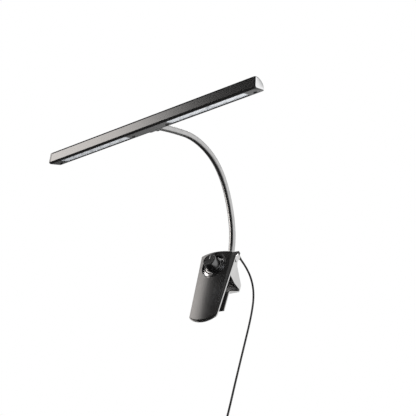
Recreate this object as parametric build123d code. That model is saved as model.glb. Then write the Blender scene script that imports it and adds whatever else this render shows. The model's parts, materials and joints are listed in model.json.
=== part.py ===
from build123d import *
import math
import os

os.makedirs("parts", exist_ok=True)

# Clip-on reading lamp: a light bar on a flexible neck, carried by a sprung clip.
# X runs along the bar, Y points back through the jaw, Z is up, in millimetres.
# The origin is the middle of the front pad's gripping face.

# Clip outline, plate and cover
clip_top = 57.0  # middle of the upper edge
clip_bottom = -38.0  # middle of the lower edge
top_bow = 1.6
bottom_bow = 6.6
half_top = 22.2  # half width of the cover at the upper corners
half_bottom = 18.4
clip_corner = 2.0
plate_thickness = 1.6
plate_margin = 0.7  # plate showing round the cover
cover_wall = 1.8
cover_edge_low = 1.4  # depth of the cover's side at the lower corners
cover_edge_high = 7.8
cover_bulge = 2.4  # rise of the front face across the upper width
cover_rim = 0.8

# Grip
pad_half = 15.0
pad_reach = 17.0  # half height of both pads
pad_thickness = 1.6
rear_pad_thickness = 2.0
pad_round = 3.0
grip_gap = 3.0  # what the jaw holds at rest

# Cover screws
screw_radius = 1.2
screw_head_radius = 2.2
screw_head_height = 0.9
screw_length = 3.6
post_radius = 2.6
screw_low = (11.5, -23.0)
screw_high = (15.0, 44.0)
screw_clearance = 0.05

# Dial and dimmer
dial_height = 37.5  # dial axis above the pad's middle
dish_radius = 16.0  # floor of the dish
dish_depth = 3.7
dish_bevel = 2.0  # sloping rim, measured into the cover
knob_skirt_radius = 11.8
knob_skirt_height = 1.8
knob_skirt_round = 0.9
knob_base_radius = 9.6
knob_face_radius = 8.4
knob_height = 13.2
knob_gap = 0.6
knob_hollow_radius = 7.7
knob_hollow_depth = 3.4
knob_edge = 0.7
bezel_inner = 12.3
bezel_outer = 15.3
bezel_height = 2.0
bezel_edge = 0.6  # height of its outer side
pointer_width = 1.2
pointer_depth = 0.5
shaft_radius = 3.0
shaft_length = 10.8  # in front of the dish floor
shaft_tail = 1.4  # inside the dimmer
running_clearance = 0.05
bushing_radius = 4.5
bushing_height = 2.6
nut_apothem = 6.0
nut_height = 1.8
dimmer_size = 15.0
board_thickness = 1.2
board_half = 8.0
board_low = -18.0

# Rear arm, its pin and springs
arm_thickness = 1.4
arm_inset = 1.5  # outer side of the cheeks inside the cover's upper width
arm_low = -20.0
tab_high = 7.0
throat_depth = 23.5
throat_low = 21.0
throat_high = 30.0
waist = (7.6, 45.2)
pin_place = (2.6, 52.5)
pin_radius = 1.5
pin_head_radius = 2.6
pin_head_height = 0.8
pin_head_gap = 0.3
lug_radius = 3.0
ear_front = (3.2, 63.0)
ear_rear = (9.4, 61.4)
cheek_low = 27.0
cheek_arch = (11.0, 23.5)
arm_bend = 2.5
spring_wire = 1.0
spring_radius = 2.6
spring_turns = 3.5
spring_leg = 4.5
spring_gap = 1.0  # beside the boss

# Boss behind the plate and the cable gland on its rib
boss_half = 9.0
boss_low = 49.5
boss_high = 60.0
rib_front = 5.5
rib_thickness = 4.0
rib_overlap = 3.0
gland_inset = 6.8  # gland axis inside the cover's upper width
gland_z = 66.6
gland_radius = 2.5
gland_flange = 1.2
gland_length = 6.5
gland_edge = 0.6  # rib left round the gland

# Flexible neck
neck_radius = 4.2
neck_bore = 2.6
cable_radius = 2.3
neck_y = 16.5
link_length = 53.0
link_turns = (32.7, 22.5, 41.4, 29.4, 5.0)
joint_gap = 0.3
neck_fit = 0.04
socket_radius = 5.4
socket_flange_radius = 6.6
socket_flange = 2.0
neck_nut_apothem = 6.5
neck_nut_height = 4.0

# Light bar
bar_length = 290.0
bar_height = 14.0
bar_depth = 21.0
bar_setback = 6.5  # the front face leans back by this at its top
bar_heel = 3.6  # height of the straight part of the back
bar_heel_inset = 1.0
bar_crown = 3.9
bar_wall = 1.5
bar_edge = 0.9
bar_drop = 7.5  # neck axis above the underside
bar_roll = 2.9
cap_length = 4.0
cap_round = 0.7
plug_in = 2.0  # end cap's tongue inside the shell
cap_fit = 0.1
lip_front = 3.0
lip_rear = 1.4
cover_fit = 0.05
window_start = 28.0
window_margin = 16.0  # window's end to the bar's end
window_width = 13.4
window_center = 10.8
window_corner = 2.0
cover_thickness = 1.8
lens_fit = 0.1
lens_recess = 0.8
trough_width = 10.0
reflector_height = 4.1
reflector_wall = 0.7
light_board_thickness = 1.0
light_count = 7
light_size = 3.4
light_height = 0.9
head_screw_start = 23.5
head_screw_margin = 8.5  # outer screw to the bar's end
head_screw_setback = 15.0
head_screw_radius = 1.1
head_screw_head = 2.1
head_screw_rise = 0.6
head_screw_length = 7.0
head_post_radius = 2.3
boss_length = 10.5  # bar back to the neck's mouth
boss_width = 18.0
boss_height = 11.0
boss_collar = 3.0
boss_collar_radius = 5.7
boss_round = 2.0
neck_insert = 8.0

# Supply lead
lead_radius = 1.25
bend_share = 0.45  # of the shorter run beside a bend
lead_route = (
    (15.8, 31.0, 65.2),
    (16.4, 45.0, 60.4),
    (17.0, 56.0, 50.0),
    (17.3, 62.5, 34.0),
    (17.2, 65.2, 8.0),
    (16.6, 66.0, -30.0),
    (16.8, 65.6, -76.0),
    (17.2, 65.8, -114.0),
    (17.0, 65.0, -143.0),
)
coil_radius = 14.0
coil_section = 5.6
tie_width = 7.0
tie_thickness = 1.0
touch_gap = 0.2
tail_length = 26.0
plug_radius = 4.6
plug_length = 24.0
plug_edge = 1.2
barrel_radius = 2.75
barrel_bore = 1.25
barrel_length = 9.5

# Places that follow from the sizes
plate_back = -pad_thickness
plate_front = plate_back - plate_thickness
corner_low = clip_bottom + bottom_bow
corner_high = clip_top - top_bow
board_front = plate_front - board_thickness
cover_radius = (half_top**2 + cover_bulge**2) / (2 * cover_bulge)
arm_half = half_top - arm_inset
gland_x = half_top - gland_inset


def sag(half):
    return cover_radius - math.sqrt(cover_radius**2 - half**2)


crown_low = Vector(0, plate_front - cover_edge_low - sag(half_bottom), corner_low)
crown_high = Vector(0, plate_front - cover_edge_high - sag(half_top), corner_high)
crown_line = (crown_high - crown_low).normalized()
crown_back = Vector(0, crown_line.Z, -crown_line.Y)
dial_share = (dial_height - corner_low) / (corner_high - corner_low)
dial_crown = crown_low + (crown_high - crown_low) * dial_share
dish_floor = dial_crown.Y + dish_depth
deep = dish_floor + cover_wall  # inner side of the dish floor
clip_height = clip_top - clip_bottom
neck_z = boss_high + socket_flange
spindle = Plane(origin=(0, dish_floor, dial_height), x_dir=(1, 0, 0), z_dir=(0, -1, 0))
upright = (Align.CENTER, Align.CENTER, Align.MIN)


def block(x_from, x_to, y_from, y_to, z_from, z_to):
    center = Pos((x_from + x_to) / 2, (y_from + y_to) / 2, (z_from + z_to) / 2)
    return center * Box(x_to - x_from, y_to - y_from, z_to - z_from)


def rod(radius, start, end):
    axis = Vector(*end) - Vector(*start)
    return Plane(origin=start, z_dir=axis) * Cylinder(radius, axis.length, align=upright)


def disc(radius, low, high):
    return Pos(0, 0, low) * Cylinder(radius, high - low, align=upright)


def hexagon(apothem, bore, low, high):
    side_radius = apothem / math.cos(math.pi / 6)
    prism = extrude(Pos(0, 0, low) * RegularPolygon(side_radius, 6), high - low)
    return prism - disc(bore, low, high)


def mirrored(part):
    return mirror(part, Plane.YZ)


# Clip: one outline gives the plate, the cover and its hollow
def clip_outline(inset):
    right = Line((half_bottom, corner_low), (half_top, corner_high))
    top = ThreePointArc((half_top, corner_high), (0, clip_top), (-half_top, corner_high))
    left = Line((-half_top, corner_high), (-half_bottom, corner_low))
    bottom = ThreePointArc((-half_bottom, corner_low), (0, clip_bottom), (half_bottom, corner_low))
    face = make_face([right, top, left, bottom])
    rounded = fillet(face.vertices(), clip_corner)
    return offset(rounded, -inset) if inset else rounded


def slab(face, back, front):
    return extrude(Plane.XZ.offset(-back) * face, back - front)


def crowned(inset):
    middle = (crown_low + crown_high) * 0.5 + crown_back * cover_radius
    barrel = Plane(origin=middle, x_dir=(1, 0, 0), z_dir=crown_line)
    stock = slab(clip_outline(inset), plate_front, plate_front - 2 * cover_radius)
    return stock & barrel * Cylinder(cover_radius - inset, 3 * clip_height)


def cover_screw_places():
    return [(side * x, z) for x, z in (screw_low, screw_high) for side in (-1, 1)]


def make_front_cover():
    outer = crowned(0)
    edge = outer.faces().sort_by(Axis.Y)[0].edges()
    outer = fillet(edge, cover_rim)
    front = plate_front - 2 * cover_radius
    seat_radius = dish_radius + dish_bevel + cover_wall
    seat = rod(seat_radius, (0, deep, dial_height), (0, front, dial_height)) & outer
    cover = outer - crowned(cover_wall) + seat
    pilot_radius = screw_radius + screw_clearance
    pilot_end = plate_back - screw_length - screw_clearance
    for x, z in cover_screw_places():
        cover += rod(post_radius, (x, plate_front, z), (x, front, z)) & outer
        cover -= rod(pilot_radius, (x, plate_front, z), (x, pilot_end, z))
    rim = Plane(origin=dial_crown + crown_back * dish_bevel, x_dir=(1, 0, 0), z_dir=crown_back * -1)
    cover -= rim * Cone(dish_radius, dish_radius + 2 * dish_bevel, 2 * dish_bevel, align=upright)
    cover -= spindle * disc(dish_radius, 0, dish_depth)
    return cover - spindle * disc(bushing_radius + screw_clearance, -cover_wall, 0)


def make_clip_plate():
    plate = slab(clip_outline(-plate_margin), plate_back, plate_front)
    hole_radius = screw_radius + screw_clearance
    holes = [rod(hole_radius, (x, plate_back, z), (x, plate_front, z)) for x, z in cover_screw_places()]
    return plate - holes


def make_neck_block():
    boss = block(-boss_half, boss_half, plate_back, neck_y, boss_low, boss_high)
    boss += Pos(0, neck_y, 0) * disc(boss_half, boss_low, boss_high)
    rib_side = gland_x + gland_radius + gland_edge
    rib_top = gland_z + gland_radius + gland_edge
    rib_back = rib_front + rib_thickness
    rib = block(boss_half - rib_overlap, rib_side, rib_front, rib_back, boss_high - rib_overlap, rib_top)
    neck_hole = Pos(0, neck_y, 0) * disc(socket_radius + neck_fit, boss_low, boss_high)
    pin_hole = rod(pin_radius + neck_fit, (-boss_half, *pin_place), (boss_half, *pin_place))
    return boss + rib - neck_hole - pin_hole


def make_cover_screws():
    screws = []
    for x, z in cover_screw_places():
        shank = rod(screw_radius, (x, plate_back, z), (x, plate_back - screw_length, z))
        head = rod(screw_head_radius, (x, plate_back, z), (x, plate_back + screw_head_height, z))
        screws.append(shank + head)
    return Part() + screws


def make_pad(front, back):
    pad = block(-pad_half, pad_half, front, back, -pad_reach, pad_reach)
    return fillet(pad.edges().filter_by(Axis.Y), pad_round)


# Dial: the pieces stand on the dish floor along the spindle
def make_knob():
    grip = Pos(0, 0, knob_gap) * Cone(knob_base_radius, knob_face_radius, knob_height, align=upright)
    grip = fillet(grip.edges().sort_by(Axis.Z)[-1], knob_edge)
    skirt = disc(knob_skirt_radius, knob_gap, knob_gap + knob_skirt_height)
    skirt = fillet(skirt.edges().sort_by(Axis.Z)[-1], knob_skirt_round)
    hollow = disc(knob_hollow_radius, knob_gap, knob_gap + knob_hollow_depth)
    bore = disc(shaft_radius + neck_fit, knob_gap, shaft_length + neck_fit)
    face = knob_gap + knob_height
    groove = block(-pointer_width / 2, pointer_width / 2, 0, knob_face_radius, face - pointer_depth, face)
    return spindle * (grip + skirt - hollow - bore - groove)


def make_dial_bezel():
    top_radius = bezel_inner + bezel_edge
    slope = Cone(bezel_outer, top_radius, bezel_height - bezel_edge, align=upright)
    ring = disc(bezel_outer, 0, bezel_edge) + Pos(0, 0, bezel_edge) * slope
    return spindle * (ring - disc(bezel_inner, 0, bezel_height))


def make_dimmer():
    back = board_front - dish_floor
    half = dimmer_size / 2
    case = block(-half, half, -half, half, -back, -cover_wall)
    bushing = disc(bushing_radius, -cover_wall, bushing_height)
    bore_end = -cover_wall - shaft_tail - running_clearance
    bore = disc(shaft_radius + running_clearance, bore_end, bushing_height)
    return spindle * (case + bushing - bore)


def make_dimmer_nut():
    return spindle * hexagon(nut_apothem, bushing_radius + neck_fit, 0, nut_height)


def make_dimmer_shaft():
    return spindle * disc(shaft_radius, -cover_wall - shaft_tail, shaft_length)


def make_dimmer_board():
    top = dial_height + dimmer_size / 2
    return block(-board_half, board_half, board_front, plate_front, board_low, top)


# Rear arm: a bent sheet with a cheek on each side
def make_rear_arm():
    inner = grip_gap + rear_pad_thickness
    path = FilletPolyline(
        (inner, arm_low),
        (inner, tab_high),
        (throat_depth, throat_low),
        (throat_depth, throat_high),
        waist,
        radius=arm_bend,
    )
    sheet = make_face(offset(path, arm_thickness, side=Side.RIGHT).edges())
    web = extrude(Plane.YZ * sheet, arm_half, both=True)
    sunk = arm_thickness / 2
    cheek = Polyline(
        (pin_place[0] - lug_radius, cheek_low),
        (pin_place[0] - lug_radius, pin_place[1]),
        ear_front,
        ear_rear,
        (pin_place[0] + lug_radius, pin_place[1]),
        (waist[0] + sunk, waist[1] + sunk),
        (throat_depth + sunk, throat_high + sunk),
        (throat_depth + sunk, throat_low + arm_bend),
        cheek_arch,
        close=True,
    )
    side = extrude(Plane.YZ.offset(arm_half - arm_thickness) * make_face(cheek), arm_thickness)
    hole = rod(pin_radius + running_clearance, (-arm_half, *pin_place), (arm_half, *pin_place))
    return web + side + mirrored(side) - hole


def make_pivot_pin():
    reach = arm_half + pin_head_gap
    tip = reach + pin_head_height
    pin = rod(pin_radius, (-tip, *pin_place), (tip, *pin_place))
    head = rod(pin_head_radius, (reach, *pin_place), (tip, *pin_place))
    return pin + head + mirrored(head)


def make_arm_springs():
    height = 2 * spring_turns * spring_wire
    start = boss_half + spring_gap
    pin_axis = Plane(origin=(start, *pin_place), x_dir=(0, 1, 0), z_dir=(1, 0, 0))
    helix = Helix(2 * spring_wire, height, spring_radius)
    section = Plane(origin=helix @ 0, z_dir=helix % 0) * Circle(spring_wire / 2)
    coil = pin_axis * sweep(section, helix, is_frenet=True)
    for x, side in ((start, 1), (start + height, -1)):
        y = pin_place[0] + side * spring_radius
        coil += rod(spring_wire / 2, (x, y, pin_place[1]), (x, y, pin_place[1] - spring_leg))
    return Part() + [coil, mirrored(coil)]


def make_cable_gland():
    rib_back = rib_front + rib_thickness
    seat = Plane(origin=(gland_x, rib_back, gland_z), z_dir=(0, 1, 0))
    boot = Cone(gland_radius - gland_edge, lead_radius + gland_edge / 2, gland_length, align=upright)
    return seat * (disc(gland_radius, 0, gland_flange) + Pos(0, 0, gland_flange) * boot)


# Flexible neck: arcs that follow one another in the plane of X = 0
def heading(angle):
    return Vector(0, -math.sin(angle), math.cos(angle))


def run_on(point, angle, turn, length):
    radius = length / turn
    across = radius * (math.cos(angle + turn) - math.cos(angle))
    along = radius * (math.sin(angle + turn) - math.sin(angle))
    return point + Vector(0, across, along)


def neck_stations():
    point = Vector(0, neck_y, neck_z)
    angle = 0.0
    stations = [(point, angle)]
    for turn in link_turns:
        turn = math.radians(turn)
        point = run_on(point, angle, turn, link_length)
        angle += turn
        stations.append((point, angle))
    return stations


def neck_tube(station, turn, radius, skip):
    point, angle = station
    length = link_length - skip
    start = run_on(point, angle, turn * skip / link_length, skip) if skip else point
    angle += turn * skip / link_length
    turn = turn * length / link_length
    middle = run_on(start, angle, turn / 2, length / 2)
    end = run_on(start, angle, turn, length)
    path = ThreePointArc(start, middle, end)
    return sweep(Plane(origin=start, z_dir=heading(angle)) * Circle(radius), path)


def make_neck():
    links = {}
    stations = neck_stations()
    count = len(link_turns)
    for number, degrees in enumerate(link_turns, 1):
        turn = math.radians(degrees)
        start, angle = stations[number - 1]
        end, end_angle = stations[number]
        link = neck_tube(stations[number - 1], turn, neck_radius, 0)
        hollow = neck_tube(stations[number - 1], turn, neck_bore, 0)
        skip = neck_radius + 2 * joint_gap
        if number == 1:
            root = start - heading(angle) * (neck_z - boss_low)
            link += rod(neck_radius, root, start)
            hollow += rod(neck_bore, root, start)
            skip = 0
        if number < count:
            link += Pos(end) * Sphere(neck_radius)
            hollow += rod(neck_bore, end, end + heading(end_angle) * 2 * neck_radius)
        else:
            tip = end + heading(end_angle) * neck_insert
            link += rod(neck_radius, end, tip)
            hollow += rod(neck_bore, end, tip)
        if number > 1:
            link -= Pos(start) * Sphere(neck_radius + joint_gap)
        links[f"neck_link_{number}"] = link - hollow
        links[f"neck_cable_{number}"] = neck_tube(stations[number - 1], turn, cable_radius, skip)
    return links


def make_neck_socket():
    sleeve = disc(socket_radius, boss_low, boss_high)
    flange = disc(socket_flange_radius, boss_high, neck_z)
    bore = disc(neck_radius + neck_fit, boss_low, neck_z)
    return Pos(0, neck_y, 0) * (sleeve + flange - bore)


def make_neck_nut():
    nut = hexagon(neck_nut_apothem, neck_radius + joint_gap, neck_z, neck_z + neck_nut_height)
    return Pos(0, neck_y, 0) * nut


# Light bar: built along X with the neck's mouth at its origin, then set on the neck's end
mouth, mouth_angle = neck_stations()[-1]
bar_back_way = heading(mouth_angle) * -1
bar_up = Vector(1, 0, 0).cross(bar_back_way)
roll = math.radians(bar_roll)
bar_along = Vector(1, 0, 0) * math.cos(roll) + bar_up * math.sin(roll)
head_place = Plane(origin=mouth, x_dir=bar_along, z_dir=bar_along.cross(bar_back_way)).location
bar_front = -boss_length - bar_depth
bar_floor = -bar_drop
shell_half = bar_length / 2 - cap_length
deck = bar_floor + cover_thickness  # inner side of the bottom cover
board_floor = deck + reflector_height
light_y = bar_front + window_center
screw_y = bar_front + head_screw_setback
lip_front_y = bar_front + lip_front
lip_rear_y = -boss_length - lip_rear - bar_heel_inset
toe_angle = math.atan2(bar_height, bar_setback)
toe_round = (lip_front - cover_fit) * math.tan(toe_angle / 2)
window_end = bar_length / 2 - window_margin


def bar_profile(inset):
    toe = (bar_front, bar_floor)
    brow = (bar_front + bar_setback, bar_floor + bar_height)
    heel = (bar_front + bar_depth, bar_floor + bar_heel)
    tail = (bar_front + bar_depth - bar_heel_inset, bar_floor)
    front = Line(toe, brow)
    back = SagittaArc(brow, heel, bar_crown)
    face = make_face([front, back, Line(heel, tail), Line(tail, toe)])
    face = fillet(face.vertices().sort_by(Axis.X)[1:], bar_edge)
    face = fillet(face.vertices().sort_by(Axis.X)[0], toe_round)
    return offset(face, -inset) if inset else face


def along_bar(face, x_from, x_to):
    return extrude(Plane.YZ.offset(x_from) * face, x_to - x_from)


def head_screw_places():
    outer = bar_length / 2 - head_screw_margin
    return [side * x for x in (head_screw_start, outer) for side in (-1, 1)]


def make_head_shell():
    shell = along_bar(bar_profile(0), -shell_half, shell_half)
    hollow = along_bar(bar_profile(bar_wall), -shell_half, shell_half)
    opening = block(-shell_half, shell_half, lip_front_y, lip_rear_y, bar_floor, deck)
    body = shell - hollow - opening
    pilot_top = bar_floor + head_screw_length + neck_fit
    for x in head_screw_places():
        body += rod(head_post_radius, (x, screw_y, deck), (x, screw_y, bar_floor + bar_height)) & shell
        body -= rod(head_screw_radius + neck_fit, (x, screw_y, bar_floor), (x, screw_y, pilot_top))
    return body - rod(neck_bore, (0, 0, 0), (0, -boss_length - bar_depth / 2, 0))


def make_end_cap():
    cap = along_bar(bar_profile(0), shell_half, bar_length / 2)
    cap = fillet(cap.faces().sort_by(Axis.X)[-1].edges(), cap_round)
    return cap + along_bar(bar_profile(cover_thickness + cap_fit), shell_half - plug_in, shell_half)


def panel(width, grow, low, high):
    length = window_end - window_start + 2 * grow
    center = Pos((window_start + window_end) / 2, light_y, low)
    return extrude(center * RectangleRounded(length, width + 2 * grow, window_corner), high - low)


def make_bottom_cover():
    cover = block(-shell_half, shell_half, lip_front_y + cover_fit, lip_rear_y - cover_fit, bar_floor, deck)
    opening = panel(window_width, 0, bar_floor, deck)
    holes = []
    for x in head_screw_places():
        holes.append(rod(head_screw_radius + neck_fit, (x, screw_y, bar_floor), (x, screw_y, deck)))
    return cover - opening - mirrored(opening) - holes


def make_lens():
    return panel(window_width, -lens_fit, bar_floor + lens_recess, deck)


def make_reflector():
    hollow = panel(trough_width, 0, deck, board_floor)
    return panel(trough_width, reflector_wall, deck, board_floor) - hollow


def make_light_board():
    return panel(trough_width, reflector_wall, board_floor, board_floor + light_board_thickness)


def make_lights():
    pitch = (window_end - window_start) / light_count
    first = window_start + pitch / 2
    light = Box(light_size, light_size, light_height)
    z = board_floor - light_height / 2
    return Part() + [Pos(first + index * pitch, light_y, z) * light for index in range(light_count)]


def make_head_screws():
    screws = []
    for x in head_screw_places():
        under = (x, screw_y, bar_floor)
        head = rod(head_screw_head, (x, screw_y, bar_floor - head_screw_rise), under)
        screws.append(head + rod(head_screw_radius, under, (x, screw_y, bar_floor + head_screw_length)))
    return Part() + screws


def make_head_boss():
    half = boss_width / 2
    deep_y = -boss_length - bar_depth / 2
    body = block(-half, half, deep_y, -boss_collar, -boss_height / 2, boss_height / 2)
    body = fillet(body.edges().filter_by(Axis.Z), boss_round)
    body += rod(boss_collar_radius, (0, -boss_collar, 0), (0, 0, 0))
    seat = along_bar(bar_profile(0), -boss_width, boss_width)
    bore = rod(neck_radius + neck_fit, (0, 0, 0), (0, -neck_insert, 0))
    way = rod(neck_bore, (0, 0, 0), (0, -boss_length - bar_depth, 0))
    return body - seat - bore - way


def make_head():
    pieces = {
        "head_shell": make_head_shell(),
        "bottom_cover": make_bottom_cover(),
        "head_screws": make_head_screws(),
        "head_boss": make_head_boss(),
    }
    paired = {
        "end_cap": make_end_cap(),
        "lens": make_lens(),
        "reflector": make_reflector(),
        "light_board": make_light_board(),
        "lights": make_lights(),
    }
    for name, piece in paired.items():
        pieces[f"{name}_right"] = piece
        pieces[f"{name}_left"] = mirrored(piece)
    return {name: head_place * piece for name, piece in pieces.items()}


# Supply lead: out of the gland, down behind the clip to a tied coil and a plug
def make_lead():
    gland_end = rib_front + rib_thickness + gland_flange + gland_length + touch_gap
    points = [Vector(gland_x, gland_end, gland_z), *[Vector(*place) for place in lead_route]]
    radii = []
    for before, corner, after in zip(points, points[1:], points[2:]):
        turn = math.radians((corner - before).get_angle(after - corner))
        shorter = min((corner - before).length, (after - corner).length)
        radii.append(bend_share * shorter / math.tan(turn / 2))
    path = FilletPolyline(*points, radius=radii)
    lead = sweep(Plane(origin=points[0], z_dir=path % 0) * Circle(lead_radius), path)
    print("lead radii", [round(radius) for radius in radii], "length", round(path.length, 1))
    print("lead volume", round(lead.volume, 1), "of", round(math.pi * lead_radius**2 * path.length, 1))
    return lead


def make_lead_end():
    end = Vector(*lead_route[-1])
    clear = coil_radius + coil_section + touch_gap
    entry = math.sqrt(clear**2 - (coil_radius - lead_radius) ** 2)  # the lead meets the coil along its ring
    center = end - Vector(0, coil_radius, entry)
    coil_plane = Plane(origin=center, x_dir=(0, 1, 0), z_dir=(1, 0, 0))
    coil = coil_plane * Torus(coil_radius, coil_section)
    tie_inside = coil_section + touch_gap
    band = Torus(coil_radius, tie_inside + tie_thickness) - Torus(coil_radius, tie_inside)
    span = coil_radius + 2 * coil_section
    tie = coil_plane * (band & block(-span, 0, -tie_width / 2, tie_width / 2, -span, span))
    low = end - Vector(0, 0, 2 * entry)
    plug_top = low - Vector(0, 0, tail_length)
    plug_low = plug_top - Vector(0, 0, plug_length)
    plug = rod(plug_radius, plug_top, plug_low)
    plug = fillet(plug.edges().filter_by(GeomType.CIRCLE), plug_edge)
    barrel_low = plug_low - Vector(0, 0, barrel_length)
    barrel = rod(barrel_radius, plug_low, barrel_low) - rod(barrel_bore, plug_low, barrel_low)
    return {
        "lead_coil": coil,
        "cord_tie": tie,
        "lead_tail": rod(lead_radius, low, plug_top),
        "plug_body": plug,
        "plug_barrel": barrel,
    }


nodes = {
    "clip_plate": make_clip_plate(),
    "neck_block": make_neck_block(),
    "front_cover": make_front_cover(),
    "front_pad": make_pad(plate_back, 0),
    "cover_screws": make_cover_screws(),
    "dimmer_board": make_dimmer_board(),
    "dimmer": make_dimmer(),
    "dimmer_nut": make_dimmer_nut(),
    "dimmer_shaft": make_dimmer_shaft(),
    "knob": make_knob(),
    "dial_bezel": make_dial_bezel(),
    "pivot_pin": make_pivot_pin(),
    "arm_springs": make_arm_springs(),
    "rear_arm": make_rear_arm(),
    "rear_pad": make_pad(grip_gap, grip_gap + rear_pad_thickness),
    "cable_gland": make_cable_gland(),
    "neck_socket": make_neck_socket(),
    "neck_nut": make_neck_nut(),
    **make_neck(),
    **make_head(),
    "lead": make_lead(),
    **make_lead_end(),
}

for name, part in nodes.items():
    export_step(part, f"parts/{name}.step")

for point, angle in neck_stations():
    way = heading(angle)
    print("neck joint", [round(value, 4) for value in point], "heading", [round(value, 5) for value in way])
print("head along", [round(value, 5) for value in bar_along])
print("head back", [round(value, 5) for value in bar_back_way])
print("dish floor", round(dish_floor, 3), "nodes", len(nodes))
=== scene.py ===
import bmesh
import bpy
import json
import math
from mathutils import Matrix, Vector


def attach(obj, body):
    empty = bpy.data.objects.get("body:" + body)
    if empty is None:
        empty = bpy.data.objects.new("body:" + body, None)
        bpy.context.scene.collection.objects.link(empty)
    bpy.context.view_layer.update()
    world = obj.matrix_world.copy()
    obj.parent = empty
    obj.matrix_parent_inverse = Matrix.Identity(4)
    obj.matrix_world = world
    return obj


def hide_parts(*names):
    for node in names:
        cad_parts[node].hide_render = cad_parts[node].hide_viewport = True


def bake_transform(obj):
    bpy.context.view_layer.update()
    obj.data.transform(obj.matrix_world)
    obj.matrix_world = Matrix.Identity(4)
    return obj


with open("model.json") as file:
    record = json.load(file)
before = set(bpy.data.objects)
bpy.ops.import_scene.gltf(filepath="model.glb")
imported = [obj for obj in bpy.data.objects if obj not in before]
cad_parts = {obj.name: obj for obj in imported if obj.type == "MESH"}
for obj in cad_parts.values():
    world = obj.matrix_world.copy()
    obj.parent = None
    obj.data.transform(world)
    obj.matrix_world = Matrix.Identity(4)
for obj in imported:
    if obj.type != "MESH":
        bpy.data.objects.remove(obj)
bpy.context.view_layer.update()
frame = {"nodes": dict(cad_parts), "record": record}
nodes = frame["nodes"]
stage = bpy.context.scene
stage.view_settings.view_transform = "Standard"
mm = 0.001  # sizes below are in millimetres unless a note says metres
weldReach = 1e-6  # metres


def addObject(name, data):
    thing = bpy.data.objects.new(name, data)
    stage.collection.objects.link(thing)
    return thing


def fromAxes(place, x, y, z):  # place in metres
    return Matrix.Translation(place) @ Matrix((x, y, z)).transposed().to_4x4()


# Camera, looking up at the lamp from its right
cameraView = {
    "place": (0.4552, -0.5495, -0.4714),  # metres
    "right": (0.836, 0.4948, 0.2373),
    "up": (0.1841, -0.6603, 0.7281),
    "lens": 62.38,
    "sensor": 36.0,
}


def placeCamera(view):
    right = Vector(view["right"]).normalized()
    back = right.cross(Vector(view["up"])).normalized()
    camera = addObject("viewCamera", bpy.data.cameras.new("viewCamera"))
    camera.data.lens = view["lens"]
    camera.data.sensor_width = view["sensor"]
    camera.matrix_world = fromAxes(view["place"], right, back.cross(right), back)
    stage.camera = camera


placeCamera(cameraView)
print("camera placed")


# Small tools for meshes
def finishPiece(name, bm, body, slot, *replaced, smooth=40):
    bmesh.ops.recalc_face_normals(bm, faces=bm.faces)
    for face in bm.faces:
        face.smooth = True
    for edge in bm.edges:
        edge.smooth = edge.calc_face_angle(0.0) < math.radians(smooth)
    mesh = bpy.data.meshes.new(name)
    bm.to_mesh(mesh)
    bm.free()
    piece = addObject(name, mesh)
    if body:
        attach(piece, body)
    if replaced:
        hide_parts(*replaced)
    return piece


def addVert(bm, place, spot):
    return bm.verts.new(place @ (Vector(spot) * mm))


def angles(count):
    return [2 * math.pi * i / count for i in range(count)]


def square(half):
    return (-half, -half), (half, -half), (half, half), (-half, half)


def fan(bm, tip, ring):
    for i, vert in enumerate(ring):
        bm.faces.new((tip, vert, ring[(i + 1) % len(ring)]))


def stitch(bm, lower, upper, closed=True):
    count = len(lower)
    for i in range(count if closed else count - 1):
        j = (i + 1) % count
        bm.faces.new((lower[i], lower[j], upper[j], upper[i]))


def skin(bm, rings, closed=True, capped=False):
    for lower, upper in zip(rings, rings[1:]):
        stitch(bm, lower, upper, closed)
    if capped:
        bm.faces.new(rings[0])
        bm.faces.new(rings[-1])


def weld(bm):
    bmesh.ops.remove_doubles(bm, verts=bm.verts, dist=weldReach)


def lathe(bm, profile, place, segments):
    rings = []
    for radius, height in profile:
        if radius == 0:
            rings.append([addVert(bm, place, (0, 0, height))])
            continue
        ring = []
        for angle in angles(segments):
            spot = (radius * math.cos(angle), radius * math.sin(angle), height)
            ring.append(addVert(bm, place, spot))
        rings.append(ring)
    for lower, upper in zip(rings, rings[1:]):
        if len(lower) == 1:
            fan(bm, lower[0], upper)
        elif len(upper) == 1:
            fan(bm, upper[0], lower)
        else:
            stitch(bm, lower, upper)


def makeTurned(name, profile, place, slot, replaced, segments=48, smooth=40):
    bm = bmesh.new()
    lathe(bm, profile, place, segments)
    return finishPiece(name, bm, "clip", slot, replaced, smooth=smooth)


def aimed(place, way):  # a unit vector at right angles to x
    across = Vector((1, 0, 0))
    axis = Vector(way)
    return fromAxes(Vector(place) * mm, across, axis.cross(across), axis)


# Supply lead: one cord from the gland to the plug, its spare length wound in a tied coil
leadCord = {
    "inside": (15.4, 14.6, 66.6),  # hidden in the gland
    "exit": (15.4, 17.4, 66.6),
    "route": (
        (15.8, 31.0, 65.2),
        (16.4, 45.0, 60.4),
        (17.0, 56.0, 50.0),
        (17.3, 62.5, 34.0),
        (17.2, 65.2, 8.0),
        (16.6, 66.0, -30.0),
        (16.8, 65.6, -76.0),
        (17.2, 65.8, -114.0),
        (17.0, 65.0, -143.0),
    ),
    "radius": 1.25,
    "coilRadius": 14.0,
    "coilDrop": 15.15,  # lead's end to the coil's middle
    "coilRows": ((1, 2), (4, 1), (3, 0), (4, -1), (1, -2)),  # turns side by side, row height
    "pointsPerTurn": 16,
    "shiftShare": 0.4,  # part of a turn in which the cord moves to its next place
    "tail": 26.0,
    "insidePlug": 2.0,
    "length": 1.41,  # metres
}


def coilPlaces(cord):
    pitch = 2 * cord["radius"]
    rise = pitch * math.sqrt(3) / 2  # rows lie in each other's hollows
    places = []
    for index, (count, level) in enumerate(cord["coilRows"]):
        row = [((i - (count - 1) / 2) * pitch, level * rise) for i in range(count)]
        places += row[::-1] if index % 2 else row
    return places


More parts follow.
